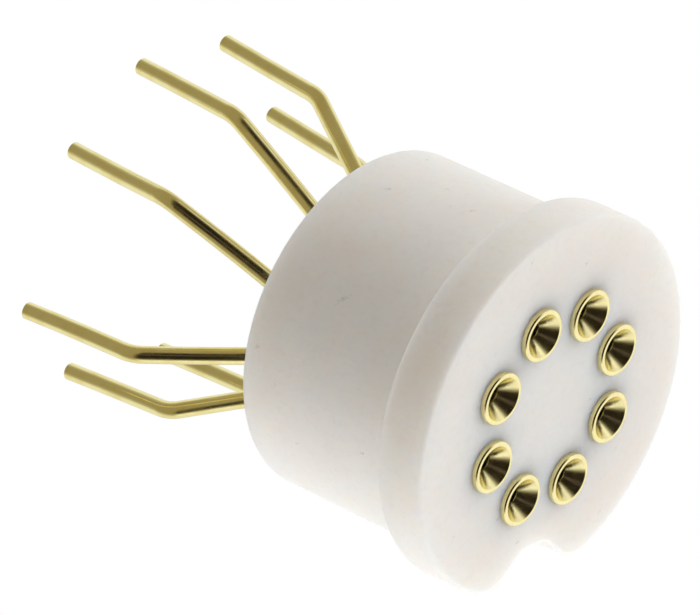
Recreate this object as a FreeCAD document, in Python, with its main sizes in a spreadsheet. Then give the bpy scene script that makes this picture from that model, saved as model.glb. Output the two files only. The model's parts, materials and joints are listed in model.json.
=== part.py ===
"""Eight-contact round plug-in socket for a subminiature valve, in millimetres.

A white PTFE body holds eight closed-entry contacts on a circle. Each contact is a turned sleeve
with a funnel mouth, a four-finger spring clip behind its throat, and a wire lead whose plug
closes the sleeve from the rear. The leads are bent outwards behind the body and back again.

Frame: the origin is on the body's axis, in the plane of the flange's rear face, which rests on
the panel. +Z runs along the axis, out of the contact face. The index notch is on -Y. Contacts
are numbered counter-clockwise from the notch, seen from above.
"""
import FreeCAD, Part
import math
import os

import Sketcher

CONTACTS = 8
FINGERS = 4
STEP_ANGLE = 360 / CONTACTS
NOTCH_ANGLE = -90
TINY = 1e-4

# Driving dimensions. A drop is measured down from the face or edge that its piece starts at.
SIZES = {
    # insulating body
    "body_diameter": 9.40,
    "body_depth": 5.18,
    "flange_overhang": 0.54,
    "flange_thickness": 1.52,
    "front_edge_radius": 0.12,
    "flange_rear_radius": 0.30,
    "step_fillet_radius": 0.10,
    "rear_edge_radius": 0.44,
    # index notch in the flange
    "notch_depth": 1.20,
    "notch_floor_width": 1.00,
    "notch_mouth_width": 3.70,
    "notch_floor_radius": 0.60,
    "notch_mouth_radius": 0.95,
    # contact circle and turned sleeves
    "contact_circle": 5.08,
    "head_diameter": 1.44,
    "head_height": 0.15,
    "head_edge_radius": 0.06,
    "barrel_diameter": 1.20,
    "barrel_length": 5.10,
    "mouth_diameter": 1.20,
    "funnel_depth": 0.44,
    "throat_diameter": 0.54,
    "throat_length": 0.45,
    "chamber_diameter": 0.86,
    # four-finger spring clips
    "clip_wall": 0.09,
    "clip_ring_length": 0.55,
    "clip_grip_drop": 2.40,
    "clip_length": 2.90,
    "clip_grip_diameter": 0.34,
    "clip_flare": 0.06,
    "clip_slot_width": 0.14,
    # wire leads
    "wire_diameter": 0.47,
    "wire_hole_clearance": 0.03,
    "plug_length": 0.90,
    "exit_radius": 0.60,
    "bend_drop": 3.80,
    "bend_radius": 1.00,
}

# How each lead is formed behind the body: the drop below the rear face at which it turns outwards,
# the reach of its bend from the body's axis and the turn of the bend about that axis from the
# contact's own place, the same two for its tip, and the tip's drop below the rear face.
LEAD_FORMS = {
    1: (0.50, 4.20, -9.0, 4.40, -9.0, 7.40),
    2: (0.50, 4.90, -7.0, 5.50, -8.0, 6.60),
    3: (0.50, 4.55, -1.0, 5.00, -1.0, 7.40),
    4: (0.40, 4.80, -3.0, 5.10, -5.0, 7.40),
    5: (0.20, 4.80, -7.5, 4.80, -10.5, 7.40),
    6: (0.20, 4.65, -16.0, 4.45, -18.0, 7.40),
    7: (1.15, 4.60, -5.0, 4.85, -5.5, 7.40),
    8: (0.95, 4.45, -14.5, 4.65, -13.0, 7.40),
}
LEAD_VALUES = ("exit_drop", "bend_reach", "bend_turn", "tip_reach", "tip_turn", "tip_drop")

# Heights and radii that several pieces share, as expressions on the sheet.
BODY_RADIUS = "Sizes.body_diameter / 2"
FLANGE_RADIUS = "Sizes.body_diameter / 2 + Sizes.flange_overhang"
CIRCLE_RADIUS = "Sizes.contact_circle / 2"
FACE = "Sizes.flange_thickness"
HEAD_TOP = "Sizes.flange_thickness + Sizes.head_height"
THROAT_TOP = HEAD_TOP + " - Sizes.funnel_depth"
SHOULDER = THROAT_TOP + " - Sizes.throat_length"
SLEEVE_REAR = "Sizes.flange_thickness - Sizes.barrel_length"
REAR_FACE = "-Sizes.body_depth"


def make_sheet(doc):
    """Put every driving dimension in the sheet, one row each, with its name as the alias."""
    sheet = doc.addObject("Spreadsheet::Sheet", "Sizes")
    rows = dict(SIZES)
    for number, form in LEAD_FORMS.items():
        for name, value in zip(LEAD_VALUES, form):
            rows[f"lead_{number}_{name}"] = value
    for row, (name, value) in enumerate(rows.items(), start=1):
        sheet.set(f"A{row}", name)
        sheet.set(f"B{row}", str(value))
        sheet.setAlias(f"B{row}", name)
    doc.recompute()
    return sheet


def contact_angle(number):
    """Azimuth of a contact in degrees."""
    return NOTCH_ANGLE + STEP_ANGLE * (number - 0.5)


def number_of(owner, expression):
    """What an expression on the sheet comes to, as a plain number."""
    result = owner.evalExpression(expression)
    return float(getattr(result, "Value", result))


def origin_feature(body, role):
    """One of a body's own origin planes or axes."""
    return next(f for f in body.Origin.OriginFeatures if f.Role == role)


def new_sketch(body, name, plane):
    """A sketch on one of the body's own origin planes."""
    sketch = body.newObject("Sketcher::SketchObject", name)
    sketch.AttachmentSupport = [(origin_feature(body, plane), "")]
    sketch.MapMode = "FlatFace"
    body.Document.recompute()
    return sketch


def fix_point(sketch, geometry, position, x, y):
    """Tie one point of a sketch to two expressions, measured from the sketch's origin."""
    for kind, axis, expression in (("DistanceX", -2, x), ("DistanceY", -1, y)):
        value = number_of(sketch, expression)
        if expression == "0":
            sketch.addConstraint(Sketcher.Constraint("PointOnObject", geometry, position, axis))
            continue
        index = sketch.addConstraint(
            Sketcher.Constraint(kind, -1, 1, geometry, position, value)
        )
        sketch.setExpression(f"Constraints[{index}]", expression)


def draw_outline(sketch, corners):
    """A closed outline of straight lines through corners, each a pair of expressions."""
    points = [
        FreeCAD.Vector(number_of(sketch, x), number_of(sketch, y), 0) for x, y in corners
    ]
    for index, point in enumerate(points):
        following = points[(index + 1) % len(points)]
        sketch.addGeometry(Part.LineSegment(point, following), False)
    for index in range(len(points)):
        following = (index + 1) % len(points)
        sketch.addConstraint(Sketcher.Constraint("Coincident", index, 2, following, 1))
    for index, (x, y) in enumerate(corners):
        fix_point(sketch, index, 1, x, y)


def fix_size(sketch, kind, geometry, expression):
    """Tie a radius or diameter to an expression."""
    index = sketch.addConstraint(
        Sketcher.Constraint(kind, geometry, number_of(sketch, expression))
    )
    sketch.setExpression(f"Constraints[{index}]", expression)


def draw_circle(sketch, x, y, diameter):
    """A circle whose centre and diameter follow the sheet."""
    centre = FreeCAD.Vector(number_of(sketch, x), number_of(sketch, y), 0)
    radius = number_of(sketch, diameter) / 2
    circle = sketch.addGeometry(Part.Circle(centre, FreeCAD.Vector(0, 0, 1), radius), False)
    fix_point(sketch, circle, 3, x, y)
    fix_size(sketch, "Diameter", circle, diameter)


def turn(body, corners):
    """Revolve an outline of (radius, height) corners about the body's Z axis."""
    sketch = new_sketch(body, "Profile", "XZ_Plane")
    draw_outline(sketch, corners)
    turned = body.newObject("PartDesign::Revolution", "Turned")
    turned.Profile = sketch
    turned.ReferenceAxis = (sketch, ["V_Axis"])
    turned.Angle = 360
    body.Document.recompute()
    return turned


def pocket(body, name, sketch, length, reverse=False, midplane=False):
    """Cut a sketch into the body and make sure that it took material away."""
    before = body.Tip.Shape.Volume
    cut = body.newObject("PartDesign::Pocket", name)
    cut.Profile = sketch
    cut.Type = "Length"
    cut.setExpression("Length", length)
    cut.Reversed = reverse
    cut.Midplane = midplane
    body.Document.recompute()
    if not cut.Shape.Volume < before - TINY:
        raise RuntimeError(f"{body.Label}: {name} cuts nothing")
    return cut


def pattern(body, name, features, count):
    """Repeat cuts evenly about the body's Z axis."""
    ring = body.newObject("PartDesign::PolarPattern", name)
    ring.Originals = features
    ring.Axis = (origin_feature(body, "Z_Axis"), [""])
    ring.Angle = 360
    ring.Occurrences = count
    body.Tip = ring
    body.Document.recompute()
    return ring


def round_edges(body, name, wanted, radius):
    """Fillet those edges of the body's tip that the test picks out."""
    base = body.Tip
    edges = [f"Edge{i}" for i, e in enumerate(base.Shape.Edges, start=1) if wanted(e)]
    if not edges:
        raise RuntimeError(f"{body.Label}: {name} finds no edge")
    rounded = body.newObject("PartDesign::Fillet", name)
    rounded.Base = (base, edges)
    rounded.setExpression("Radius", radius)
    body.Document.recompute()
    return rounded


def is_ring(radius, height):
    """A test for a full circle about the Z axis, of a radius and at a height."""
    def wanted(edge):
        box = edge.BoundBox
        flat = abs(box.ZMin - height) < TINY and abs(box.ZMax - height) < TINY
        return flat and abs(box.XMax - radius) < TINY and abs(box.XMin + radius) < TINY
    return wanted


def lies_at(height):
    """A test for an edge that lies all along at one height."""
    def wanted(edge):
        first, last = edge.ParameterRange
        places = (first, (first + last) / 2, last)
        return all(abs(edge.valueAt(t).z - height) < TINY for t in places)
    return wanted


def add_arc(sketch, centre, start, end):
    """A counter-clockwise arc in a sketch."""
    first = math.atan2(start.y - centre.y, start.x - centre.x)
    last = math.atan2(end.y - centre.y, end.x - centre.x)
    circle = Part.Circle(centre, FreeCAD.Vector(0, 0, 1), centre.distanceToPoint(start))
    return sketch.addGeometry(Part.ArcOfCircle(circle, first, last), False)


def draw_half_notch(sketch):
    """The +X half of the notch: floor, floor arc, sloping wall, and an arc that runs into the rim.

    The wall lies on a construction line between the floor's sharp corner and the mouth's.
    """
    rim = number_of(sketch, FLANGE_RADIUS)
    floor_arc = number_of(sketch, "Sizes.notch_floor_radius")
    mouth_arc = number_of(sketch, "Sizes.notch_mouth_radius")
    floor = f"-({FLANGE_RADIUS} - Sizes.notch_depth)"
    corner = ("Sizes.notch_floor_width / 2", floor)
    mouth = ("Sizes.notch_mouth_width / 2", f"-({FLANGE_RADIUS})")
    beyond = f"-({FLANGE_RADIUS} + Sizes.notch_depth)"
    inner, outer = (
        FreeCAD.Vector(number_of(sketch, x), number_of(sketch, y), 0) for x, y in (corner, mouth)
    )
    down = (outer - inner).normalize()
    across = FreeCAD.Vector(-down.y, down.x, 0)
    setback = floor_arc * math.tan(down.getAngle(FreeCAD.Vector(1, 0, 0)) / 2)
    floor_end = inner - FreeCAD.Vector(setback, 0, 0)
    wall_start = inner + down * setback
    # the mouth arc touches the rim from inside, so its centre is the rim's radius less its own away
    offset = inner + across * mouth_arc
    along = offset.dot(down)
    run = math.sqrt(along ** 2 - offset.dot(offset) + (rim - mouth_arc) ** 2) - along
    mouth_centre = offset + down * run
    wall_end = inner + down * run
    touch = FreeCAD.Vector(mouth_centre).normalize() * rim
    low = number_of(sketch, beyond)

    def line(start, end, construction=False):
        return sketch.addGeometry(Part.LineSegment(start, end), construction)

    def rule(*words):
        return sketch.addConstraint(Sketcher.Constraint(*words))

    base = line(FreeCAD.Vector(0, inner.y, 0), floor_end)
    inside = add_arc(sketch, floor_end - FreeCAD.Vector(0, floor_arc, 0), wall_start, floor_end)
    wall = line(wall_start, wall_end)
    outside = add_arc(sketch, mouth_centre, wall_end, touch)
    side = line(touch, FreeCAD.Vector(touch.x, low, 0))
    bottom = line(FreeCAD.Vector(touch.x, low, 0), FreeCAD.Vector(0, low, 0))
    middle = line(FreeCAD.Vector(0, low, 0), FreeCAD.Vector(0, inner.y, 0))
    slope = line(inner, outer, True)
    spoke = line(FreeCAD.Vector(), touch, True)
    circle = sketch.addGeometry(
        Part.Circle(FreeCAD.Vector(), FreeCAD.Vector(0, 0, 1), rim), True
    )
    fix_point(sketch, slope, 1, *corner)
    fix_point(sketch, slope, 2, *mouth)
    rule("Coincident", circle, 3, -1, 1)
    fix_size(sketch, "Radius", circle, FLANGE_RADIUS)
    fix_size(sketch, "Radius", inside, "Sizes.notch_floor_radius")
    fix_size(sketch, "Radius", outside, "Sizes.notch_mouth_radius")
    fix_point(sketch, base, 1, "0", floor)
    rule("Horizontal", base)
    rule("Tangent", base, 2, inside, 2)
    rule("Tangent", inside, 1, wall, 1)
    rule("Tangent", wall, 2, outside, 1)
    rule("PointOnObject", wall, 2, slope)
    rule("PointOnObject", wall, 1, slope)
    rule("Coincident", spoke, 1, -1, 1)
    rule("Coincident", spoke, 2, outside, 2)
    rule("PointOnObject", outside, 3, spoke)
    rule("PointOnObject", outside, 2, circle)
    rule("Coincident", outside, 2, side, 1)
    rule("Vertical", side)
    rule("Coincident", side, 2, bottom, 1)
    rule("Coincident", bottom, 2, middle, 1)
    rule("Coincident", middle, 2, base, 1)
    rule("Horizontal", bottom)
    fix_point(sketch, bottom, 2, "0", beyond)


def make_insulator(doc):
    """The flanged body: turned, notched, and bored eight times for sleeves and wires."""
    body = doc.addObject("PartDesign::Body", "insulator_body")
    body.Label = "insulator_body"
    turn(body, [
        ("0", REAR_FACE),
        (BODY_RADIUS, REAR_FACE),
        (BODY_RADIUS, "0"),
        (FLANGE_RADIUS, "0"),
        (FLANGE_RADIUS, FACE),
        ("0", FACE),
    ])
    body_radius = number_of(body, BODY_RADIUS)
    flange_radius = number_of(body, FLANGE_RADIUS)
    rear = number_of(body, REAR_FACE)
    face = number_of(body, FACE)
    round_edges(body, "RearEdge", is_ring(body_radius, rear), "Sizes.rear_edge_radius")
    round_edges(body, "FlangeRear", is_ring(flange_radius, 0), "Sizes.flange_rear_radius")
    round_edges(body, "Step", is_ring(body_radius, 0), "Sizes.step_fillet_radius")

    notch = new_sketch(body, "NotchOutline", "XY_Plane")
    draw_half_notch(notch)
    half = pocket(body, "HalfNotch", notch, "Sizes.flange_thickness", reverse=True)
    whole = body.newObject("PartDesign::Mirrored", "Notch")
    whole.Originals = [half]
    whole.MirrorPlane = (origin_feature(body, "YZ_Plane"), [""])
    body.Tip = whole
    doc.recompute()
    round_edges(body, "FrontEdge", lies_at(face), "Sizes.front_edge_radius")

    first = contact_angle(1)
    x = f"{CIRCLE_RADIUS} * cos({first})"
    y = f"{CIRCLE_RADIUS} * sin({first})"
    cuts = []
    for name, diameter, depth in (
        ("SleeveBore", "Sizes.barrel_diameter", "Sizes.barrel_length"),
        (
            "WireHole",
            "Sizes.wire_diameter + 2 * Sizes.wire_hole_clearance",
            "Sizes.flange_thickness + Sizes.body_depth",
        ),
    ):
        circle = new_sketch(body, name + "Circle", "XY_Plane")
        circle.setExpression("AttachmentOffset.Base.z", FACE)
        draw_circle(circle, x, y, diameter)
        cuts.append(pocket(body, name, circle, depth))
    pattern(body, "ContactRing", cuts, CONTACTS)
    return body


def place_contact(piece, number):
    """Stand a turned piece on its place of the contact circle."""
    angle = contact_angle(number)
    piece.Placement = FreeCAD.Placement(
        FreeCAD.Vector(), FreeCAD.Rotation(FreeCAD.Vector(0, 0, 1), angle)
    )
    piece.setExpression("Placement.Base.x", f"{CIRCLE_RADIUS} * cos({angle})")
    piece.setExpression("Placement.Base.y", f"{CIRCLE_RADIUS} * sin({angle})")


def make_sleeve(doc, number):
    """A turned sleeve: low round head, funnel mouth, throat, and a chamber open to the rear."""
    body = doc.addObject("PartDesign::Body", f"contact_sleeve_{number}")
    body.Label = f"contact_sleeve_{number}"
    mouth = "Sizes.mouth_diameter / 2"
    head = "Sizes.head_diameter / 2"
    barrel = "Sizes.barrel_diameter / 2"
    throat = "Sizes.throat_diameter / 2"
    chamber = "Sizes.chamber_diameter / 2"
    turn(body, [
        (mouth, HEAD_TOP),
        (head, HEAD_TOP),
        (head, FACE),
        (barrel, FACE),
        (barrel, SLEEVE_REAR),
        (chamber, SLEEVE_REAR),
        (chamber, SHOULDER),
        (throat, SHOULDER),
        (throat, THROAT_TOP),
    ])
    rim = is_ring(number_of(body, head), number_of(body, HEAD_TOP))
    round_edges(body, "HeadEdge", rim, "Sizes.head_edge_radius")
    place_contact(body, number)
    return body


def make_clip(doc, number):
    """A four-finger clip: its ring sits under the sleeve's shoulder, its fingers close below."""
    body = doc.addObject("PartDesign::Body", f"spring_clip_{number}")
    body.Label = f"spring_clip_{number}"
    outside = "Sizes.chamber_diameter / 2"
    grip = "Sizes.clip_grip_diameter / 2"
    grip_height = f"{SHOULDER} - Sizes.clip_grip_drop"
    ring_end = f"{SHOULDER} - Sizes.clip_ring_length"
    end = f"{SHOULDER} - Sizes.clip_length"
    turn(body, [
        (f"{outside} - Sizes.clip_wall", SHOULDER),
        (outside, SHOULDER),
        (outside, ring_end),
        (f"{grip} + Sizes.clip_wall", grip_height),
        (f"{grip} + Sizes.clip_flare + Sizes.clip_wall", end),
        (f"{grip} + Sizes.clip_flare", end),
        (grip, grip_height),
    ])
    slot = new_sketch(body, "SlotOutline", "XZ_Plane")
    slot_top = f"{ring_end} - Sizes.clip_slot_width"
    slot_end = f"{end} - Sizes.clip_wall"
    draw_outline(slot, [
        ("0", slot_top),
        (outside, slot_top),
        (outside, slot_end),
        ("0", slot_end),
    ])
    cut = pocket(body, "Slot", slot, "Sizes.clip_slot_width", midplane=True)
    pattern(body, "Fingers", [cut], FINGERS)
    place_contact(body, number)
    return body


def lead_corners(sheet, number):
    """The four corners of a lead's centre line: inside its plug, exit, bend and tip."""
    size = {name: sheet.get(f"lead_{number}_{name}") for name in LEAD_VALUES}
    rear = -sheet.get("body_depth")
    circle = sheet.get("contact_circle") / 2
    plug_middle = (
        sheet.get("flange_thickness") - sheet.get("barrel_length") + sheet.get("plug_length") / 2
    )
    stations = (
        (circle, 0, plug_middle),
        (circle, 0, rear - size["exit_drop"]),
        (size["bend_reach"], size["bend_turn"], rear - sheet.get("bend_drop")),
        (size["tip_reach"], size["tip_turn"], rear - size["tip_drop"]),
    )
    corners = []
    for reach, turned, height in stations:
        azimuth = math.radians(contact_angle(number) + turned)
        corners.append(
            FreeCAD.Vector(reach * math.cos(azimuth), reach * math.sin(azimuth), height)
        )
    return corners


def bent_line(corners, radii):
    """Straight runs through the corners, joined by tangent arcs, one radius for each inner corner."""
    edges = []
    start = corners[0]
    for before, corner, after, radius in zip(corners, corners[1:], corners[2:], radii):
        arriving = (corner - before).normalize()
        leaving = (after - corner).normalize()
        half_turn = arriving.getAngle(leaving) / 2
        setback = radius * math.tan(half_turn)
        first = corner - arriving * setback
        last = corner + leaving * setback
        inward = (leaving - arriving).normalize()
        centre = corner + inward * (radius / math.cos(half_turn))
        middle = centre - inward * radius
        edges.append(Part.LineSegment(start, first).toShape())
        edges.append(Part.Arc(first, middle, last).toShape())
        start = last
    edges.append(Part.LineSegment(start, corners[-1]).toShape())
    return Part.Wire(edges)


def make_lead(doc, sheet, number):
    """A wire lead: round wire swept along its formed line, with the plug that holds it."""
    line = doc.addObject("Part::Feature", f"LeadLine{number}")
    radii = (sheet.get("exit_radius"), sheet.get("bend_radius"))
    line.Shape = bent_line(lead_corners(sheet, number), radii)
    section = doc.addObject("Part::Circle", f"LeadSection{number}")
    section.setExpression("Radius", "Sizes.wire_diameter / 2")
    section.Placement = FreeCAD.Placement(lead_corners(sheet, number)[0], FreeCAD.Rotation())
    wire = doc.addObject("Part::Sweep", f"LeadWire{number}")
    wire.Sections = [section]
    wire.Spine = (line, [f"Edge{i}" for i in range(1, len(line.Shape.Edges) + 1)])
    wire.Solid = True
    wire.Frenet = True
    plug = doc.addObject("Part::Cylinder", f"LeadPlug{number}")
    plug.setExpression("Radius", "Sizes.chamber_diameter / 2")
    plug.setExpression("Height", "Sizes.plug_length")
    place_contact(plug, number)
    plug.setExpression("Placement.Base.z", SLEEVE_REAR)
    lead = doc.addObject("Part::MultiFuse", f"lead_wire_{number}")
    lead.Label = f"lead_wire_{number}"
    lead.Shapes = [plug, wire]
    doc.recompute()
    expected = line.Shape.Length * math.pi * (sheet.get("wire_diameter") / 2) ** 2
    print(
        f"lead {number}: length {line.Shape.Length:.3f}, volume {wire.Shape.Volume:.4f}, "
        f"section times length {expected:.4f}"
    )
    return lead


def check_document(doc, pieces):
    """Stop before anything is written if any feature failed or any piece isn't one solid."""
    for item in doc.Objects:
        if {"Invalid", "Error"} & set(item.State):
            raise RuntimeError(f"{item.Label} did not build: {item.State}")
    for piece in pieces:
        shape = piece.Shape
        if shape.isNull() or not shape.isValid() or len(shape.Solids) != 1:
            raise RuntimeError(f"{piece.Label} is not one valid solid")


def main():
    """Build every piece and write each one to its own file."""
    doc = FreeCAD.newDocument("ValveSocket")
    sheet = make_sheet(doc)
    pieces = [make_insulator(doc)]
    for number in range(1, CONTACTS + 1):
        pieces.append(make_sleeve(doc, number))
        pieces.append(make_clip(doc, number))
        pieces.append(make_lead(doc, sheet, number))
    doc.recompute()
    check_document(doc, pieces)
    os.makedirs("parts", exist_ok=True)
    for piece in pieces:
        piece.Shape.exportStep(f"parts/{piece.Label}.step")
        print(f"{piece.Label}: {piece.Shape.Volume:.4f} mm3")


main()
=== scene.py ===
"""Looks of a round eight-contact valve socket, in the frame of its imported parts.

Each kind of piece is modelled in millimetres on its own axis, as it is made on the bench, then
copied to its places and brought to metres: a moulded and turned PTFE body, turned and gold-plated
contact sleeves, four-finger spring clips, and hand-formed gold-plated wire leads.
"""

import json
import math
import random

import bmesh
import bpy
from mathutils import Matrix, Vector


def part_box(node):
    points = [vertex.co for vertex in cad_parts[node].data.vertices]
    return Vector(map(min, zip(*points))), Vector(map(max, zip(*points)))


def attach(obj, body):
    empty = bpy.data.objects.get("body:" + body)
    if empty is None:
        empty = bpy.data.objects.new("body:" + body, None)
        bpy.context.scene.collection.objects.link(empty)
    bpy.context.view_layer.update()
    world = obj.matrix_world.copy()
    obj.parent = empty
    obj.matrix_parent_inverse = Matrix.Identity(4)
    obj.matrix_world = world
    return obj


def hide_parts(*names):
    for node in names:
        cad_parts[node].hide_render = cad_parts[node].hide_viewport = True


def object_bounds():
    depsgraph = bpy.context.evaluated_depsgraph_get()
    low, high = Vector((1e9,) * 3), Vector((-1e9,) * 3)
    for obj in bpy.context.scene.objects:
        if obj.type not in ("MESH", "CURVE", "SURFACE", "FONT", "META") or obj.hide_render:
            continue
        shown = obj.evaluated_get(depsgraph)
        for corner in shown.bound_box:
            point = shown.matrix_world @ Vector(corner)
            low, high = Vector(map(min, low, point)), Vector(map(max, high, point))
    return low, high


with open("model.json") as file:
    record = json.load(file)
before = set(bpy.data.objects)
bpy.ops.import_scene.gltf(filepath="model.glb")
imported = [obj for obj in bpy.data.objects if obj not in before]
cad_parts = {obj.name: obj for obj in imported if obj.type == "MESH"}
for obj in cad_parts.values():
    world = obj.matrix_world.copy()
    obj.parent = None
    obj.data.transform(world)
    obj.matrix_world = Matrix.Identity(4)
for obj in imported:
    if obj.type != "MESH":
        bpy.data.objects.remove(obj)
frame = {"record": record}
CAD_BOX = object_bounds()

MM = 0.001
CONTACTS = 8
FINGERS = 4
UP = Vector((0, 0, 1))
MOUNTS = {mount["name"]: mount for mount in frame["record"]["mounts"]}

# ---------------------------------------------------------------- sizes, in millimetres


def box_of(node):
    """Lowest and highest corners of a part's node, in millimetres."""
    low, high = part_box(node)
    return low / MM, high / MM


def mount_size(name, dimension):
    return MOUNTS[name]["dims"][dimension]


BODY_LOW, BODY_HIGH = box_of("insulator_body")
SLEEVE_LOW, SLEEVE_HIGH = box_of("contact_sleeve_1")
CLIP_LOW, CLIP_HIGH = box_of("spring_clip_1")

BODY_RADIUS = mount_size("body_in_panel", "r_mm")
REAR_FACE = BODY_LOW.z
FLANGE_RADIUS = BODY_HIGH.x
FACE = BODY_HIGH.z
FRONT_EDGE = 0.12
FLANGE_REAR_EDGE = 0.30
STEP_FILLET = 0.10
REAR_EDGE = 0.44

NOTCH_FLOOR = FLANGE_RADIUS - 1.20
NOTCH_FLOOR_HALF = 0.50
NOTCH_MOUTH_HALF = 1.85
NOTCH_FLOOR_ARC = 0.60
NOTCH_MOUTH_ARC = 0.95
# How far the cutter's corner stands past the mouth's, in mouth arcs, and how high it reaches.
NOTCH_CUTTER_REACH = 1.6
NOTCH_CUTTER_HEIGHT = 4.0

HEAD_TOP = SLEEVE_HIGH.z
SLEEVE_REAR = SLEEVE_LOW.z
HEAD_RADIUS = 0.72
HEAD_EDGE = 0.06
MOUTH_RADIUS = 0.60
MOUTH_EDGE = 0.022
THROAT_EDGE = 0.02
BARREL_EDGE = 0.04
BARREL_RADIUS = 0.60
CHAMBER_RADIUS = 0.43
THROAT_RADIUS = mount_size("contact_1", "r_mm")
SHOULDER = CLIP_HIGH.z
THROAT_TOP = SHOULDER + mount_size("contact_1", "length_mm")

CLIP_END = CLIP_LOW.z
CLIP_WALL = 0.09
CLIP_RING = 0.55
CLIP_GRIP_DROP = 2.40
CLIP_GRIP_RADIUS = 0.17
CLIP_FLARE = 0.06
CLIP_SLOT = 0.14
CLIP_SLOT_ROUNDING = CLIP_SLOT * 0.45
BLADE_REACH = 1.0

WIRE_RADIUS = mount_size("lead_tail_1", "r_mm")
WIRE_HOLE_RADIUS = WIRE_RADIUS + 0.03
WIRE_HOLE_EDGE = 0.03
PLUG_TOP = SLEEVE_REAR + 0.90
EXIT_ARC = 0.60
BEND_ARC = 1.00
BEND_HEIGHT = REAR_FACE - 3.80
# The cut tip's rounding: how far in, then how far out, each step goes.
TIP_ROUNDING = ((0.06, 0.030), (0.09, 0.012))

# The drop below the rear face at which each lead turns outwards.
EXIT_DROPS = {1: 0.50, 2: 0.50, 3: 0.50, 4: 0.40, 5: 0.20, 6: 0.20, 7: 1.15, 8: 0.95}
# The sideways bow that fingers left in each lead's sloping run and in its tail.
LEAD_BOWS = {
    1: (0.010, -0.010),
    2: (-0.012, 0.010),
    3: (0.012, 0.008),
    4: (-0.015, 0.012),
    5: (0.018, -0.010),
    6: (0.020, 0.012),
    7: (-0.010, 0.014),
    8: (0.014, -0.012),
}


def contact_angle(number):
    """Azimuth of a contact, counted counter-clockwise from the notch on -Y."""
    return math.radians(-90 + 360 / CONTACTS * (number - 0.5))


def contact_place(number):
    """Where a contact's axis stands."""
    place = Vector(MOUNTS[f"contact_{number}"]["pos_m"]) / MM
    return Vector((place.x, place.y, 0))


CIRCLE_RADIUS = contact_place(1).length
# How far from the axis the sleeve bores and the wire holes reach, with a little to spare.
BORES_REACH = CIRCLE_RADIUS + BARREL_RADIUS + 0.2
WIRE_HOLES_REACH = CIRCLE_RADIUS + WIRE_HOLE_RADIUS + 0.1
# How far a cutter goes past the face that it opens.
CUTTER_OVERRUN = 1.0

# ---------------------------------------------------------------- camera, floor and light

VIEW_AZIMUTH = math.radians(149.217)
VIEW_ELEVATION = math.radians(34.110)
VIEW_ROLL = math.radians(115.135)
VIEW_DISTANCE = 170.608 * MM
VIEW_AIM = Vector((0.05, 0.08, -5.48)) * MM
VIEW_LENS = 334.97
VIEW_NEAREST = 0.01
VIEW_FARTHEST = 10

FLOOR_SIZE = 4
FLOOR_COLOUR = (0.8, 0.8, 0.8)
FLOOR_ROUGHNESS = 0.9


def camera_axes():
    """Right, up and back of the camera: a long lens looking down at the contact face, rolled."""
    level = math.cos(VIEW_ELEVATION)
    back = Vector((
        level * math.cos(VIEW_AZIMUTH),
        level * math.sin(VIEW_AZIMUTH),
        math.sin(VIEW_ELEVATION),
    ))
    level_right = UP.cross(back).normalized()
    level_up = back.cross(level_right)
    right = level_right * math.cos(VIEW_ROLL) + level_up * math.sin(VIEW_ROLL)
    return right, back.cross(right), back


def make_camera():
    right, up, back = camera_axes()
    data = bpy.data.cameras.new("camera")
    data.lens = VIEW_LENS
    data.clip_start = VIEW_NEAREST
    data.clip_end = VIEW_FARTHEST
    camera = bpy.data.objects.new("camera", data)
    bpy.context.scene.collection.objects.link(camera)
    turned = Matrix((right, up, back)).transposed().to_4x4()
    camera.matrix_world = Matrix.Translation(VIEW_AIM + back * VIEW_DISTANCE) @ turned
    bpy.context.scene.camera = camera


def make_floor():
    """A pale floor under the lead tips: plain white to the lens, and not mirrored by the metal."""
    clear_selection()
    bpy.ops.mesh.primitive_plane_add(size=FLOOR_SIZE, location=(0, 0, CAD_BOX[0][2]))
    floor = bpy.context.object
    floor.name = "floor"
    material, nodes, links = new_material("pale_floor")
    shader = nodes["Principled BSDF"]
    shader.inputs["Base Color"].default_value = (*FLOOR_COLOUR, 1)
    shader.inputs["Roughness"].default_value = FLOOR_ROUGHNESS
    glow = nodes.new("ShaderNodeEmission")
    path = nodes.new("ShaderNodeLightPath")
    mix = nodes.new("ShaderNodeMixShader")
    to_camera, lit, plain = mix.inputs
    links.new(path.outputs["Is Camera Ray"], to_camera)
    links.new(shader.outputs["BSDF"], lit)
    links.new(glow.outputs["Emission"], plain)
    links.new(mix.outputs["Shader"], nodes["Material Output"].inputs["Surface"])
    floor.data.materials.append(material)
    floor.visible_glossy = False


# Brightness of the tent by angle from the lens, in degrees: above, and below the table's edge.
ABOVE_TABLE = (
    (0, (0.13, 0.105, 0.11)),
    (8, (0.11, 0.09, 0.09)),
    (13, (0.018, 0.014, 0.010)),
    (46, (0.022, 0.018, 0.012)),
    (56, (0.12, 0.105, 0.08)),
    (66, (0.42, 0.40, 0.34)),
    (76, (1.05, 1.05, 1.05)),
    (118, (1.05, 1.05, 1.05)),
    (150, (0.85, 0.85, 0.85)),
)
BELOW_TABLE = (
    (0, (0.35, 0.30, 0.19)),
    (78, (0.35, 0.31, 0.20)),
    (92, (0.52, 0.50, 0.40)),
    (102, (0.84, 0.84, 0.80)),
    (125, (0.92, 0.92, 0.92)),
    (180, (0.80, 0.80, 0.80)),
)
# Heights between which the one gives way to the other, and the tilt of the lower one's middle.
TABLE_EDGE = (math.sin(math.radians(8)), math.sin(math.radians(17)))
LOWER_TILT = math.radians(12)


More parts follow.
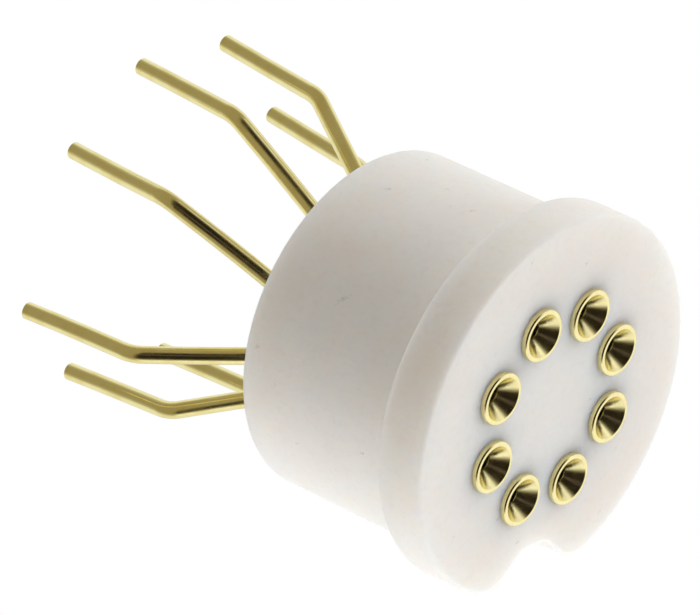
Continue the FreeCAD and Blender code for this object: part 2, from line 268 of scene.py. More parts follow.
def tent_ramp(tree, middle, steps):
    """Brightness by angle from a middle direction, as one colour output."""
    nodes, links = tree.nodes, tree.links
    where = nodes.new("ShaderNodeTexCoord")
    facing = nodes.new("ShaderNodeVectorMath")
    facing.operation = "DOT_PRODUCT"
    facing.inputs[1].default_value = middle
    angle = math_node(tree, "ARCCOSINE", facing.outputs["Value"])
    ramp = nodes.new("ShaderNodeValToRGB")
    stops = ramp.color_ramp.elements
    while len(stops) < len(steps):
        stops.new(1.0)
    for stop, (degrees, colour) in zip(stops, steps):
        stop.position = degrees / 180
        stop.color = (*colour, 1)
    links.new(where.outputs["Generated"], facing.inputs[0])
    links.new(math_node(tree, "DIVIDE", angle, math.pi), ramp.inputs["Fac"])
    return ramp.outputs["Color"]


def make_studio():
    """A white tent around a grey table, with a dark opening behind the lens."""
    _, up, back = camera_axes()
    world = bpy.data.worlds.new("studio")
    bpy.context.scene.world = world
    world.use_nodes = True
    tree = world.node_tree
    above = tent_ramp(tree, back, ABOVE_TABLE)
    lower_middle = back * math.cos(LOWER_TILT) + up * math.sin(LOWER_TILT)
    below = tent_ramp(tree, lower_middle, BELOW_TABLE)
    where = tree.nodes.new("ShaderNodeTexCoord")
    parts = tree.nodes.new("ShaderNodeSeparateXYZ")
    tree.links.new(where.outputs["Generated"], parts.inputs["Vector"])
    over_table = band(tree, parts.outputs["Z"], *TABLE_EDGE)
    colour = mix_colours(tree, over_table, below, above)
    tree.links.new(colour, tree.nodes["Background"].inputs["Color"])


LIGHT_COLOUR = (0.965, 0.985, 1.0)
LIGHT_SIZE = 0.10
LIGHT_DISTANCE = 0.10
# Each soft light's direction, as shares of the camera's right, up and back and of the part's own
# up, and its power in watts.
SOFT_LIGHTS = {
    "top_light": ((0.3, 0, 0, 1), 0.022),
    "upper_light": ((0.4, 1, 0, 0), 0.080),
    "lower_light": ((-0.2, -1, 0.1, 0), 0.070),
}


def add_soft_light(name, direction, power):
    """A broad soft light aimed at the object, which polished metal doesn't mirror."""
    data = bpy.data.lights.new(name, "AREA")
    data.size = LIGHT_SIZE
    data.energy = power
    data.color = LIGHT_COLOUR
    lamp = bpy.data.objects.new(name, data)
    bpy.context.scene.collection.objects.link(lamp)
    away = direction.normalized()
    lamp.rotation_mode = "QUATERNION"
    lamp.rotation_quaternion = away.to_track_quat("Z", "Y")
    lamp.location = away * LIGHT_DISTANCE
    lamp.visible_glossy = False


def light_object():
    make_studio()
    axes = (*camera_axes(), UP)
    for name, (shares, power) in SOFT_LIGHTS.items():
        direction = sum((axis * share for axis, share in zip(axes, shares)), Vector())
        add_soft_light(name, direction, power)


# ---------------------------------------------------------------- bench tools

# Edges that turn by less than this, in degrees, are shaded smooth: on most pieces, and on wires.
SMOOTH_ANGLE = 32
WIRE_SMOOTH_ANGLE = 50


def start_piece(name):
    """Name the primitive that was just added and open it for editing with nothing selected."""
    piece = bpy.context.object
    piece.name = name
    piece.data.name = name
    bpy.ops.object.mode_set(mode="EDIT")
    bpy.ops.mesh.select_all(action="DESELECT")
    return piece


def clear_selection():
    bpy.ops.object.select_all(action="DESELECT")


def only(piece):
    """Make one object the selected and active one."""
    clear_selection()
    piece.select_set(True)
    bpy.context.view_layer.objects.active = piece


def select_where(kind, test):
    """In edit mode, select just the vertices, edges or faces that pass a test."""
    bpy.ops.mesh.select_mode(type=kind)
    bpy.ops.mesh.select_all(action="DESELECT")
    piece = bpy.context.edit_object
    mesh = bmesh.from_edit_mesh(piece.data)
    items = {"VERT": mesh.verts, "EDGE": mesh.edges, "FACE": mesh.faces}[kind]
    found = 0
    for item in items:
        if test(item):
            item.select_set(True)
            found += 1
    if not found:
        raise RuntimeError(f"{piece.name}: nothing to select")
    mesh.select_flush_mode()
    bmesh.update_edit_mesh(piece.data)


# How near counts as on a ring or a plane, and how near two points are one, in millimetres.
NEAR = 0.004
WELD = 0.0002
# How level a face has to be to count as flat, as its normal's share of Z.
LEVEL = 0.99
Y, Z = 1, 2


def lies_at(edge, axis, value):
    """Whether both ends of an edge are at a value along an axis."""
    return all(abs(v.co[axis] - value) < NEAR for v in edge.verts)


def ring_edge(radius, height):
    """A test for the edges of a ring about the Z axis."""
    def test(edge):
        return all(
            abs(v.co.z - height) < NEAR and abs(v.co.xy.length - radius) < NEAR
            for v in edge.verts
        )
    return test


def cap_face(height, facing=1):
    """A test for a flat face at a height, facing up or down."""
    def test(face):
        return face.normal.z * facing > LEVEL and abs(face.calc_center_median().z - height) < NEAR
    return test


def extrude_to(rise, grow=1.0):
    """Extrude what is selected along Z, then make the new outline wider or narrower."""
    bpy.ops.mesh.extrude_region_move(TRANSFORM_OT_translate={"value": (0, 0, rise)})
    if grow != 1.0:
        bpy.ops.transform.resize(value=(grow, grow, 1))


def turn_profile(name, stations, sides):
    """A ring of wall turned through its (radius, height) stations and closed on itself."""
    clear_selection()
    radius, height = stations[0]
    bpy.ops.mesh.primitive_circle_add(
        vertices=sides, radius=radius, location=(0, 0, height), fill_type="NOTHING"
    )
    bpy.ops.object.transform_apply(location=True)
    piece = start_piece(name)
    bpy.ops.mesh.select_all(action="SELECT")
    for wider, higher in stations[1:]:
        extrude_to(higher - height, wider / radius)
        radius, height = wider, higher
    select_where("EDGE", lambda edge: edge.is_boundary)
    bpy.ops.mesh.bridge_edge_loops()
    return piece


def bevel(width, segments):
    """Round what is selected with a true arc."""
    bpy.ops.mesh.bevel(offset=width, offset_type="OFFSET", segments=segments, profile=0.5)


def bevel_ring(radius, height, width, segments):
    """Round the edge ring at a radius and height."""
    select_where("EDGE", ring_edge(radius, height))
    bevel(width, segments)


def close_edit():
    """Turn every face outwards and leave edit mode."""
    bpy.ops.mesh.select_mode(type="VERT")
    bpy.ops.mesh.select_all(action="SELECT")
    bpy.ops.mesh.remove_doubles(threshold=WELD)
    bpy.ops.mesh.normals_make_consistent(inside=False)
    bpy.ops.object.mode_set(mode="OBJECT")


def cut_away(piece, cutter):
    """Cut one solid from another."""
    only(piece)
    cut = piece.modifiers.new("cut", "BOOLEAN")
    cut.operation = "DIFFERENCE"
    cut.solver = "EXACT"
    cut.object = cutter
    bpy.ops.object.modifier_apply(modifier=cut.name)
    bpy.data.objects.remove(cutter)


def smooth(piece, degrees=SMOOTH_ANGLE):
    """Smooth shading, with flat faces kept flat beside their rounded edges."""
    only(piece)
    bpy.ops.object.shade_smooth_by_angle(angle=math.radians(degrees))
    weighted = piece.modifiers.new("weighted", "WEIGHTED_NORMAL")
    weighted.keep_sharp = True
    bpy.ops.object.modifier_apply(modifier=weighted.name)


def keep_bench_place(piece):
    """Store where each point is on the piece's own axis, for marks that follow its making."""
    stored = piece.data.attributes.new("bench_place", "FLOAT_VECTOR", "POINT")
    for item, vertex in zip(stored.data, piece.data.vertices):
        item.vector = vertex.co


def finish_piece(piece, node, material):
    """Bring a piece from millimetres to metres and put it in its node's place in the frame."""
    only(piece)
    bpy.ops.transform.resize(value=(MM, MM, MM), center_override=(0, 0, 0))
    bpy.ops.object.transform_apply(location=True, rotation=True, scale=True)
    piece.data.materials.clear()
    piece.data.materials.append(material)
    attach(piece, "root")
    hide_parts(node)


def turn_about_z(angle):
    return Matrix.Rotation(angle, 4, "Z")


def copy_to_contact(master, name, number, turn):
    """A copy of a piece, with its own mesh, stood at a contact and turned about its axis."""
    piece = master.copy()
    piece.data = master.data.copy()
    piece.name = name
    piece.data.name = name
    bpy.context.scene.collection.objects.link(piece)
    piece.data.transform(Matrix.Translation(contact_place(number)) @ turn_about_z(turn))
    return piece


# ---------------------------------------------------------------- insulating body

RIM_SIDES = 240
BORE_SIDES = 48


def turn_body():
    """The flanged body as it comes off the lathe."""
    clear_selection()
    bpy.ops.mesh.primitive_cylinder_add(
        vertices=RIM_SIDES,
        radius=BODY_RADIUS,
        depth=-REAR_FACE,
        location=(0, 0, REAR_FACE / 2),
        end_fill_type="NGON",
    )
    bpy.ops.object.transform_apply(location=True)
    piece = start_piece("insulator")
    select_where("FACE", cap_face(0))
    extrude_to(0, FLANGE_RADIUS / BODY_RADIUS)
    extrude_to(FACE)
    bevel_ring(BODY_RADIUS, REAR_FACE, REAR_EDGE, segments=10)
    bevel_ring(FLANGE_RADIUS, 0, FLANGE_REAR_EDGE, segments=8)
    bevel_ring(BODY_RADIUS, 0, STEP_FILLET, segments=4)
    close_edit()
    return piece


def notch_cutter():
    """A prism of the notch's outline: flat floor, sloping walls, and a mouth that meets the rim."""
    slope = Vector((NOTCH_MOUTH_HALF - NOTCH_FLOOR_HALF, NOTCH_FLOOR - FLANGE_RADIUS)).normalized()
    across = Vector((-slope.y, slope.x))
    corner = Vector((NOTCH_FLOOR_HALF, -NOTCH_FLOOR))
    offset = corner + across * NOTCH_MOUTH_ARC
    along = offset.dot(slope)
    inner = FLANGE_RADIUS - NOTCH_MOUTH_ARC
    run = math.sqrt(along ** 2 - offset.length_squared + inner ** 2) - along
    touch = (offset + slope * run).normalized()
    rim_line = Vector((-touch.y, touch.x))
    turn = slope.angle(rim_line)
    mouth = corner + slope * (run + NOTCH_MOUTH_ARC * math.tan(turn / 2))
    beyond = mouth + rim_line * NOTCH_MOUTH_ARC * NOTCH_CUTTER_REACH
    clear_selection()
    bpy.ops.mesh.primitive_plane_add(size=2 * beyond.x, location=(0, beyond.y - beyond.x, 0))
    bpy.ops.object.transform_apply(location=True)
    cutter = start_piece("notch_cutter")
    select_where("EDGE", lambda edge: lies_at(edge, Y, beyond.y))
    cuts = 2
    bpy.ops.mesh.subdivide(number_cuts=cuts)
    select_where("VERT", lambda v: abs(v.co.x) < beyond.x / 2 and abs(v.co.y - beyond.y) < NEAR)
    bpy.ops.transform.resize(value=((cuts + 1) * mouth.x / beyond.x, 1, 1))
    bpy.ops.transform.translate(value=(0, mouth.y - beyond.y, 0))
    select_where("EDGE", lambda edge: lies_at(edge, Y, mouth.y))
    bpy.ops.mesh.extrude_region_move(
        TRANSFORM_OT_translate={"value": (0, -NOTCH_FLOOR - mouth.y, 0)}
    )
    bpy.ops.transform.resize(value=(NOTCH_FLOOR_HALF / mouth.x, 1, 1))
    bpy.ops.mesh.select_all(action="SELECT")
    extrude_to(NOTCH_CUTTER_HEIGHT)
    bpy.ops.mesh.select_all(action="SELECT")
    bpy.ops.mesh.dissolve_limited(angle_limit=math.radians(1))

    def upright(edge, y):
        first, last = edge.verts
        standing = abs(first.co.z - last.co.z) > NOTCH_CUTTER_HEIGHT / 2
        return standing and abs(first.co.y - y) < NEAR

    floor_turn = slope.angle(Vector((1, 0)))
    select_where("EDGE", lambda edge: upright(edge, mouth.y))
    bevel(NOTCH_MOUTH_ARC * math.tan(turn / 2), segments=14)
    select_where("EDGE", lambda edge: upright(edge, -NOTCH_FLOOR))
    bevel(NOTCH_FLOOR_ARC * math.tan(floor_turn / 2), segments=10)
    close_edit()
    return cutter


def bore_cutter():
    """Stepped pins for the eight sleeve bores and, behind them, the wire holes."""
    clear_selection()
    top = FACE + CUTTER_OVERRUN
    bpy.ops.mesh.primitive_cylinder_add(
        vertices=BORE_SIDES,
        radius=BARREL_RADIUS,
        depth=top - SLEEVE_REAR,
        location=(0, 0, (top + SLEEVE_REAR) / 2),
    )
    bpy.ops.object.transform_apply(location=True)
    pin = start_piece("bore_pin")
    select_where("FACE", cap_face(SLEEVE_REAR, -1))
    bpy.ops.mesh.inset(thickness=BARREL_RADIUS - WIRE_HOLE_RADIUS)
    extrude_to(REAR_FACE - SLEEVE_REAR - CUTTER_OVERRUN)
    close_edit()
    pins = [copy_to_contact(pin, "bore_pin", number, 0) for number in range(1, CONTACTS + 1)]
    bpy.data.objects.remove(pin)
    only(pins[0])
    for other in pins:
        other.select_set(True)
    bpy.ops.object.join()
    return bpy.context.object


def on_front_outline(edge):
    """The edge all round the contact face, notch and rim, but not the bores."""
    nearest = min(v.co.xy.length for v in edge.verts)
    return lies_at(edge, Z, FACE) and nearest > BORES_REACH


def on_wire_hole(edge):
    """The mouths of the wire holes in the rear face."""
    farthest = max(v.co.xy.length for v in edge.verts)
    return lies_at(edge, Z, REAR_FACE) and farthest < WIRE_HOLES_REACH


def make_insulator(material):
    piece = turn_body()
    cut_away(piece, notch_cutter())
    bpy.ops.object.mode_set(mode="EDIT")
    select_where("EDGE", on_front_outline)
    bevel(FRONT_EDGE, segments=5)
    close_edit()
    cut_away(piece, bore_cutter())
    bpy.ops.object.mode_set(mode="EDIT")
    select_where("EDGE", on_wire_hole)
    bevel(WIRE_HOLE_EDGE, segments=2)
    close_edit()
    smooth(piece)
    finish_piece(piece, "insulator_body", material)


# ---------------------------------------------------------------- contact sleeves

SLEEVE_SIDES = 96
TURN_SEED = 5


def make_sleeves(material):
    """One turned sleeve, copied to all eight bores, each turned its own way round."""
    master = turn_profile("sleeve_master", (
        (BARREL_RADIUS, SLEEVE_REAR),
        (BARREL_RADIUS, FACE),
        (HEAD_RADIUS, FACE),
        (HEAD_RADIUS, HEAD_TOP),
        (MOUTH_RADIUS, HEAD_TOP),
        (THROAT_RADIUS, THROAT_TOP),
        (THROAT_RADIUS, SHOULDER),
        (CHAMBER_RADIUS, SHOULDER),
        (CHAMBER_RADIUS, SLEEVE_REAR),
    ), SLEEVE_SIDES)
    bevel_ring(HEAD_RADIUS, HEAD_TOP, HEAD_EDGE, segments=6)
    bevel_ring(MOUTH_RADIUS, HEAD_TOP, MOUTH_EDGE, segments=4)
    bevel_ring(THROAT_RADIUS, THROAT_TOP, THROAT_EDGE, segments=3)
    bevel_ring(THROAT_RADIUS, SHOULDER, THROAT_EDGE, segments=2)
    bevel_ring(BARREL_RADIUS, SLEEVE_REAR, BARREL_EDGE, segments=2)
    close_edit()
    keep_bench_place(master)
    smooth(master)
    turns = random.Random(TURN_SEED)
    for number in range(1, CONTACTS + 1):
        turn = turns.uniform(0, math.tau)
        piece = copy_to_contact(master, f"sleeve_{number}", number, turn)
        finish_piece(piece, f"contact_sleeve_{number}", material)
    bpy.data.objects.remove(master)


# ---------------------------------------------------------------- spring clips

CLIP_SIDES = 64


def slot_cutter():
    """Two crossed blades with rounded tops, which part the four fingers."""
    clear_selection()
    top = SHOULDER - CLIP_RING - CLIP_SLOT
    end = CLIP_END - CLIP_WALL
    middle = (top + end) / 2
    bpy.ops.mesh.primitive_cube_add(
        size=1, location=(0, 0, middle), scale=(BLADE_REACH, CLIP_SLOT, top - end)
    )
    bpy.ops.object.transform_apply(location=True, scale=True)
    blade = start_piece("slot_blade")

    def on_long_edge(edge):
        first, last = edge.verts
        return lies_at(edge, Z, top) and abs(first.co.y - last.co.y) < NEAR

    select_where("EDGE", on_long_edge)
    bevel(CLIP_SLOT_ROUNDING, segments=4)
    close_edit()
    return blade


def make_clips(material):
    """One slotted clip, copied into all eight sleeves."""
    grip = SHOULDER - CLIP_GRIP_DROP
    flare = CLIP_GRIP_RADIUS + CLIP_FLARE
    master = turn_profile("clip_master", (
        (CHAMBER_RADIUS - CLIP_WALL, SHOULDER),
        (CHAMBER_RADIUS, SHOULDER),
        (CHAMBER_RADIUS, SHOULDER - CLIP_RING),
        (CLIP_GRIP_RADIUS + CLIP_WALL, grip),
        (flare + CLIP_WALL, CLIP_END),
        (flare, CLIP_END),
        (CLIP_GRIP_RADIUS, grip),
    ), CLIP_SIDES)
    close_edit()
    for index in range(FINGERS // 2):
        blade = slot_cutter()
        blade.data.transform(turn_about_z(index * math.tau / FINGERS))
        cut_away(master, blade)
    bpy.ops.object.mode_set(mode="EDIT")
    close_edit()
    keep_bench_place(master)
    smooth(master)
    for number in range(1, CONTACTS + 1):
        piece = copy_to_contact(master, f"clip_{number}", number, contact_angle(number))
        finish_piece(piece, f"spring_clip_{number}", material)
    bpy.data.objects.remove(master)


# ---------------------------------------------------------------- wire leads

WIRE_SIDES = 40
RUN_STEPS = 8
ARC_STEPS = 8


def lead_corners(number):
    """The corners of a lead's centre line: its plug, exit, bend and tip."""
    tail = MOUNTS[f"lead_tail_{number}"]
    along = Vector(tail["axis"])
    tip = Vector(tail["pos_m"]) / MM + along * tail["dims"]["length_mm"] / 2
    bend = tip + along * (BEND_HEIGHT - tip.z) / along.z
    place = contact_place(number)
    plug = place + UP * SLEEVE_REAR
    turn_out = place + UP * (REAR_FACE - EXIT_DROPS[number])
    return plug, turn_out, bend, tip


def draw_run(travel, bow, steps):
    """Extrude the wire's end along a run that bows a little to one side and comes back."""
    sideways = travel.cross(UP).normalized() * bow
    before = Vector()
    for step in range(1, steps + 1):
        share = step / steps
        now = travel * share + sideways * math.sin(math.pi * share)
        bpy.ops.mesh.extrude_region_move(TRANSFORM_OT_translate={"value": now - before})
        before = now


def bend_wire(centre, axis, angle, steps):
    """Bend the wire's end round a centre."""
    bpy.ops.mesh.spin(steps=steps, angle=-angle, center=centre, axis=axis)


def keep_wire_place(piece, corners):
    """Store each point's place round the wire and along it, for marks that follow the drawing."""
    runs = []
    along = 0
    sideways = Vector((1, 0, 0))
    for start, end in zip(corners, corners[1:]):
        travel = end - start
        sideways = (sideways - travel * sideways.dot(travel) / travel.length_squared).normalized()
        runs.append((start, travel.normalized(), travel.length, sideways, along))
        along += travel.length
    stored = piece.data.attributes.new("bench_place", "FLOAT_VECTOR", "POINT")
    for item, vertex in zip(stored.data, piece.data.vertices):
        nearest = None
        for start, travel, length, sideways, before in runs:
            reach = min(max((vertex.co - start).dot(travel), 0), length)
            offset = vertex.co - start - travel * reach
            if nearest is None or offset.length < nearest[0]:
                across = (offset.dot(sideways), offset.dot(travel.cross(sideways)))
                nearest = (offset.length, (*across, before + reach))
        item.vector = nearest[1]


def make_lead(number, material):
    """A lead formed from straight wire: its plug first, then the exit, bend and cut tip."""
    corners = lead_corners(number)
    place = contact_place(number)
    bows = (0, *LEAD_BOWS[number])
    clear_selection()
    bpy.ops.mesh.primitive_circle_add(
        vertices=WIRE_SIDES, radius=CHAMBER_RADIUS, location=(*place.xy, PLUG_TOP), fill_type="NGON"
    )
    bpy.ops.object.transform_apply(location=True)
    piece = start_piece(f"lead_{number}")
    bpy.ops.mesh.select_all(action="SELECT")
    extrude_to(SLEEVE_REAR - PLUG_TOP)
    bpy.ops.mesh.inset(thickness=CHAMBER_RADIUS - WIRE_RADIUS)
    end = corners[0]
    for index, radius in ((1, EXIT_ARC), (2, BEND_ARC)):
        corner = corners[index]
        arriving = (corner - corners[index - 1]).normalized()
        leaving = (corners[index + 1] - corner).normalized()
        turn = arriving.angle(leaving)
        setback = radius * math.tan(turn / 2)
        start = corner - arriving * setback
        draw_run(start - end, bows[index - 1], RUN_STEPS)
        inward = (leaving - arriving).normalized()
        centre = corner + inward * (radius / math.cos(turn / 2))
        bend_wire(centre, arriving.cross(leaving).normalized(), turn, ARC_STEPS)
        end = corner + leaving * setback
    tail = (corners[3] - end).normalized()
    dome = sum(rise for inset, rise in TIP_ROUNDING)
    draw_run(corners[3] - tail * dome - end, bows[2], RUN_STEPS)
    for inset, rise in TIP_ROUNDING:
        bpy.ops.mesh.inset(thickness=inset)
        bpy.ops.transform.translate(value=tail * rise)
    close_edit()
    keep_wire_place(piece, corners)
    smooth(piece, WIRE_SMOOTH_ANGLE)
    finish_piece(piece, f"lead_wire_{number}", material)


# ---------------------------------------------------------------- materials

def new_material(name):
    material = bpy.data.materials.new(name)
    material.use_nodes = True
    return material, material.node_tree.nodes, material.node_tree.links


def add_group(name, inputs, outputs):
    """An empty shader group with float or vector inputs and outputs, and its two end nodes."""
    group = bpy.data.node_groups.new(name, "ShaderNodeTree")
    for socket, kind in inputs:
        group.interface.new_socket(socket, in_out="INPUT", socket_type=f"NodeSocket{kind}")
    for socket, kind in outputs:
        group.interface.new_socket(socket, in_out="OUTPUT", socket_type=f"NodeSocket{kind}")
    return group, group.nodes.new("NodeGroupInput"), group.nodes.new("NodeGroupOutput")


def math_node(tree, operation, *values):
    """A Math node fed by sockets or plain numbers, as its output."""
    node = tree.nodes.new("ShaderNodeMath")
    node.operation = operation
    for socket, value in zip(node.inputs, values):
        if isinstance(value, (int, float)):
            socket.default_value = value
        else:
            tree.links.new(value, socket)
    return node.outputs["Value"]


def noise_node(tree, place, scale, detail, roughness=0.55):
    """A noise pattern at a place, as its factor output; the scale is a number or a socket."""
    noise = tree.nodes.new("ShaderNodeTexNoise")
    noise.inputs["Detail"].default_value = detail
    noise.inputs["Roughness"].default_value = roughness
    if isinstance(scale, (int, float)):
        noise.inputs["Scale"].default_value = scale
    else:
        tree.links.new(scale, noise.inputs["Scale"])
    tree.links.new(place, noise.inputs["Vector"])
    return noise.outputs["Fac"]


def stretch(tree, place, factors):
    """A place with its three directions stretched by fixed factors."""
    node = tree.nodes.new("ShaderNodeVectorMath")
    node.operation = "MULTIPLY"
    node.inputs[1].default_value = factors
    tree.links.new(place, node.inputs[0])
    return node.outputs["Vector"]


def millimetre_place(tree):
    """Object coordinates in millimetres."""
    where = tree.nodes.new("ShaderNodeTexCoord")
    return stretch(tree, where.outputs["Object"], (1 / MM, 1 / MM, 1 / MM))


def bench_place(tree):
    """Where a point was on its own axis when the piece was made, in millimetres."""
    stored = tree.nodes.new("ShaderNodeAttribute")
    stored.attribute_name = "bench_place"
    return stored.outputs["Vector"]


def fine_grain_group():
    """Fine surface grain over a slow waviness: a height in millimetres and a mask."""
    group, given, result = add_group(
        "fine_grain",
        (("Place", "Vector"), ("Grain Scale", "Float"), ("Wave Scale", "Float"),
         ("Grain Height", "Float"), ("Wave Height", "Float")),
        (("Height", "Float"), ("Mask", "Float")),
    )
    grain = noise_node(group, given.outputs["Place"], given.outputs["Grain Scale"], detail=4)
    wave = noise_node(group, given.outputs["Place"], given.outputs["Wave Scale"], detail=2)
    fine = math_node(group, "MULTIPLY", grain, given.outputs["Grain Height"])
    slow = math_node(group, "MULTIPLY", wave, given.outputs["Wave Height"])
    group.links.new(math_node(group, "ADD", fine, slow), result.inputs["Height"])
    group.links.new(wave, result.inputs["Mask"])
    return group


def tool_marks_group():
    """Turning marks: uneven rings about the Z axis and along it, as a height in millimetres."""
    group, given, result = add_group(
        "tool_marks",
        (("Place", "Vector"), ("Rings per mm", "Float"), ("Depth", "Float")),
        (("Height", "Float"),),
    )
    parts = group.nodes.new("ShaderNodeSeparateXYZ")
    flat = stretch(group, given.outputs["Place"], (1, 1, 0))
    radius = group.nodes.new("ShaderNodeVectorMath")
    radius.operation = "LENGTH"
    join = group.nodes.new("ShaderNodeCombineXYZ")
    group.links.new(given.outputs["Place"], parts.inputs["Vector"])
    group.links.new(flat, radius.inputs[0])
    group.links.new(radius.outputs["Value"], join.inputs["X"])
    group.links.new(parts.outputs["Z"], join.inputs["Z"])
    rings = noise_node(
        group, join.outputs["Vector"], given.outputs["Rings per mm"], detail=3, roughness=0.7
    )
    height = math_node(group, "MULTIPLY", rings, given.outputs["Depth"])
    group.links.new(height, result.inputs["Height"])
    return group


def plating_group():
    """Gold plate: warmer and duller in slow patches, as a colour mask and a roughness."""
    group, given, result = add_group(
        "gold_plating",
        (("Place", "Vector"), ("Patch Scale", "Float"), ("Bright Roughness", "Float"),
         ("Dull Roughness", "Float")),
        (("Warmth", "Float"), ("Roughness", "Float")),
    )
    patches = noise_node(
        group, given.outputs["Place"], given.outputs["Patch Scale"], detail=5, roughness=0.6
    )
    warmth = band(group, patches, low=0.38, high=0.66)
    rough = group.nodes.new("ShaderNodeMapRange")
    group.links.new(warmth, rough.inputs["Value"])
    group.links.new(given.outputs["Bright Roughness"], rough.inputs["To Min"])
    group.links.new(given.outputs["Dull Roughness"], rough.inputs["To Max"])
    group.links.new(warmth, result.inputs["Warmth"])
    group.links.new(rough.outputs["Result"], result.inputs["Roughness"])
    return group


def place_group(tree, group, place, **values):
    """A group in a material, on one place, with its own plain values."""
    node = tree.nodes.new("ShaderNodeGroup")
    node.node_tree = group
    tree.links.new(place, node.inputs["Place"])
    for name, value in values.items():
        node.inputs[name.replace("_", " ")].default_value = value
    return node


# A Mix node's sockets for colours, by number: its float and vector ones have the same names.
MIX_FACTOR, MIX_FIRST, MIX_SECOND = 0, 6, 7
MIX_RESULT = 2


def mix_colours(tree, mask, first, second):
    """A colour between two, by a mask; each is a plain colour or a socket."""
    mix = tree.nodes.new("ShaderNodeMix")
    mix.data_type = "RGBA"
    tree.links.new(mask, mix.inputs[MIX_FACTOR])
    for number, colour in ((MIX_FIRST, first), (MIX_SECOND, second)):
        socket = mix.inputs[number]
        if isinstance(colour, tuple):
            socket.default_value = (*colour, 1)
        else:
            tree.links.new(colour, socket)
    return mix.outputs[MIX_RESULT]


def bump(tree, heights, strength):
    """A bump from summed heights in millimetres, fed to the shader."""
    total = heights[0]
    for height in heights[1:]:
        total = math_node(tree, "ADD", total, height)
    node = tree.nodes.new("ShaderNodeBump")
    node.inputs["Strength"].default_value = strength
    node.inputs["Distance"].default_value = MM
    tree.links.new(total, node.inputs["Height"])
    tree.links.new(node.outputs["Normal"], tree.nodes["Principled BSDF"].inputs["Normal"])


def band(tree, value, low, high, flip=False):
    """A mask that rises smoothly from 0 at the low value to 1 at the high one, or falls."""
    node = tree.nodes.new("ShaderNodeMapRange")
    node.interpolation_type = "SMOOTHSTEP"
    node.inputs["From Min"].default_value = low
    node.inputs["From Max"].default_value = high
    if flip:
        node.inputs["To Min"].default_value = 1
        node.inputs["To Max"].default_value = 0
    tree.links.new(value, node.inputs["Value"])
    return node.outputs["Result"]


PTFE_WHITE = (0.895, 0.86, 0.825)
PTFE_WARM = (0.875, 0.825, 0.78)
PTFE_COOL = (0.865, 0.86, 0.83)
PTFE_SHADE = (0.84, 0.78, 0.735)
PTFE_SPECK = (0.42, 0.38, 0.34)
# Specks: their cells per millimetre, how ragged they are, where they end in a cell, how dark.
SPECK_CELLS = 0.85
SPECK_RAGGED = 14
SPECK_EDGES = (0.030, 0.065)
SPECK_STRENGTH = 0.6
PTFE_ROUGHNESS = (0.40, 0.60)


def tint(tree, place, colour, over, scale, detail, low, high, strength, roughness=0.55):
    """A colour with another laid over it where a noise rises through a band."""
    patches = band(tree, noise_node(tree, place, scale, detail, roughness), low, high)
    return mix_colours(tree, math_node(tree, "MULTIPLY", patches, strength), colour, over)


def ptfe(grain, marks):
    """White PTFE: slightly see-through, cloudy, lightly turned, with a rare dark speck."""
    material, nodes, links = new_material("white_ptfe")
    tree = material.node_tree
    shader = nodes["Principled BSDF"]
    place = millimetre_place(tree)
    colour = tint(
        tree, place, PTFE_WHITE, PTFE_WARM, scale=0.35, detail=2, low=0.35, high=0.68, strength=1
    )
    colour = tint(
        tree, place, colour, PTFE_COOL, scale=1.1, detail=3, low=0.38, high=0.70, strength=0.45
    )
    colour = tint(
        tree, place, colour, PTFE_SHADE, scale=4.5, detail=5, low=0.46, high=0.72, strength=0.5,
        roughness=0.7,
    )
    cells = nodes.new("ShaderNodeTexVoronoi")
    cells.inputs["Scale"].default_value = SPECK_CELLS
    ragged = nodes.new("ShaderNodeVectorMath")
    ragged.operation = "ADD"
    links.new(place, ragged.inputs[0])
    links.new(noise_node(tree, place, SPECK_RAGGED, detail=2), ragged.inputs[1])
    links.new(ragged.outputs["Vector"], cells.inputs["Vector"])
    speck = band(tree, cells.outputs["Distance"], *SPECK_EDGES, flip=True)
    dark = math_node(tree, "MULTIPLY", speck, SPECK_STRENGTH)
    colour = mix_colours(tree, dark, colour, PTFE_SPECK)
    links.new(colour, shader.inputs["Base Color"])
    surface = place_group(
        tree, grain, place, Grain_Scale=5.5, Wave_Scale=1.6, Grain_Height=0.022, Wave_Height=0.04
    )
    turned = place_group(tree, marks, place, Rings_per_mm=9, Depth=0.004)
    rough = nodes.new("ShaderNodeMapRange")
    rough.inputs["To Min"].default_value, rough.inputs["To Max"].default_value = PTFE_ROUGHNESS
    links.new(surface.outputs["Mask"], rough.inputs["Value"])
    links.new(rough.outputs["Result"], shader.inputs["Roughness"])
    bump(tree, (surface.outputs["Height"], turned.outputs["Height"]), strength=0.5)
    shader.inputs["Specular IOR Level"].default_value = 0.35
    shader.inputs["IOR"].default_value = 1.38
    shader.inputs["Subsurface Weight"].default_value = 0.85
    shader.inputs["Subsurface Radius"].default_value = (1.0, 0.85, 0.7)
    shader.inputs["Subsurface Scale"].default_value = 0.0014
    return material


GOLD_PALE = (0.93, 0.84, 0.43)
GOLD_WARM = (0.88, 0.76, 0.33)


def gold(name, plating, patch_scale, bright, dull, warm=GOLD_WARM):
    """A gold-plated metal on its bench place, with its colour and roughness set."""
    material, nodes, links = new_material(name)
    tree = material.node_tree
    shader = nodes["Principled BSDF"]
    place = bench_place(tree)
    plate = place_group(
        tree, plating, place, Patch_Scale=patch_scale, Bright_Roughness=bright, Dull_Roughness=dull
    )
    colour = mix_colours(tree, plate.outputs["Warmth"], GOLD_PALE, warm)
    links.new(colour, shader.inputs["Base Color"])
    links.new(plate.outputs["Roughness"], shader.inputs["Roughness"])
    shader.inputs["Metallic"].default_value = 1
    return material, tree, place


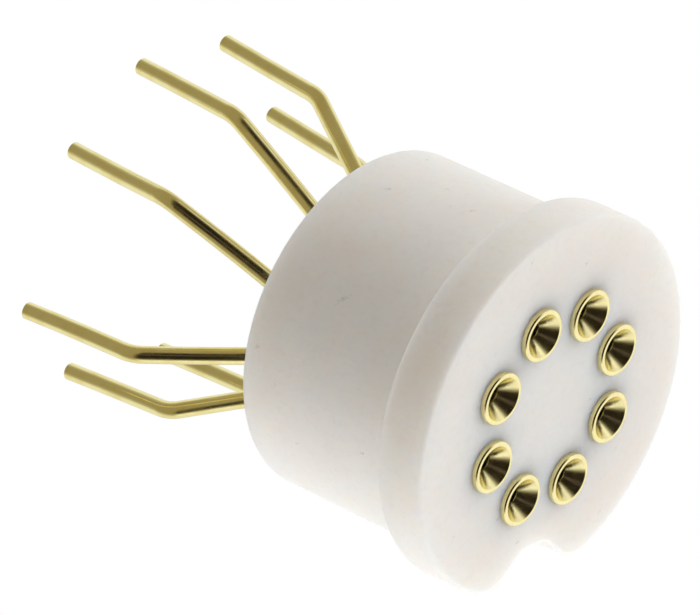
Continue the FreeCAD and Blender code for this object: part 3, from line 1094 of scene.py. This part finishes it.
def turned_gold(grain, marks, plating):
    """Turned brass under bright gold plate."""
    material, tree, place = gold(
        "turned_gold", plating, patch_scale=2.2, bright=0.13, dull=0.24, warm=(0.90, 0.80, 0.42)
    )
    surface = place_group(
        tree, grain, place, Grain_Scale=30, Wave_Scale=3, Grain_Height=0.0015, Wave_Height=0.006
    )
    turned = place_group(tree, marks, place, Rings_per_mm=26, Depth=0.004)
    bump(tree, (surface.outputs["Height"], turned.outputs["Height"]), strength=0.6)
    return material


def spring_gold(grain, plating):
    """Rolled beryllium copper under thin gold plate, duller than the sleeves."""
    material, tree, place = gold(
        "spring_gold", plating, patch_scale=3.0, bright=0.18, dull=0.32, warm=(0.80, 0.60, 0.28)
    )
    rolled = stretch(tree, place, (1, 1, 0.12))
    surface = place_group(
        tree, grain, rolled, Grain_Scale=40, Wave_Scale=5, Grain_Height=0.003, Wave_Height=0.004
    )
    bump(tree, (surface.outputs["Height"],), strength=0.6)
    return material


def wire_gold(grain, plating):
    """Drawn wire under bright gold plate, with faint streaks along its length."""
    material, tree, place = gold("wire_gold", plating, patch_scale=1.4, bright=0.13, dull=0.24)
    drawn = stretch(tree, place, (1, 1, 0.05))
    surface = place_group(
        tree, grain, drawn, Grain_Scale=24, Wave_Scale=6, Grain_Height=0.0010, Wave_Height=0.004
    )
    handled = place_group(
        tree, grain, place, Grain_Scale=18, Wave_Scale=1.1, Grain_Height=0.0004, Wave_Height=0.010
    )
    bump(tree, (surface.outputs["Height"], handled.outputs["Height"]), strength=0.6)
    return material


# ---------------------------------------------------------------- the scene

make_camera()
make_floor()
light_object()

GRAIN = fine_grain_group()
MARKS = tool_marks_group()
PLATING = plating_group()

make_insulator(ptfe(GRAIN, MARKS))
make_sleeves(turned_gold(GRAIN, MARKS, PLATING))
make_clips(spring_gold(GRAIN, PLATING))
WIRE_GOLD = wire_gold(GRAIN, PLATING)
for lead in range(1, CONTACTS + 1):
    make_lead(lead, WIRE_GOLD)

bpy.context.scene.view_settings.view_transform = "Standard"
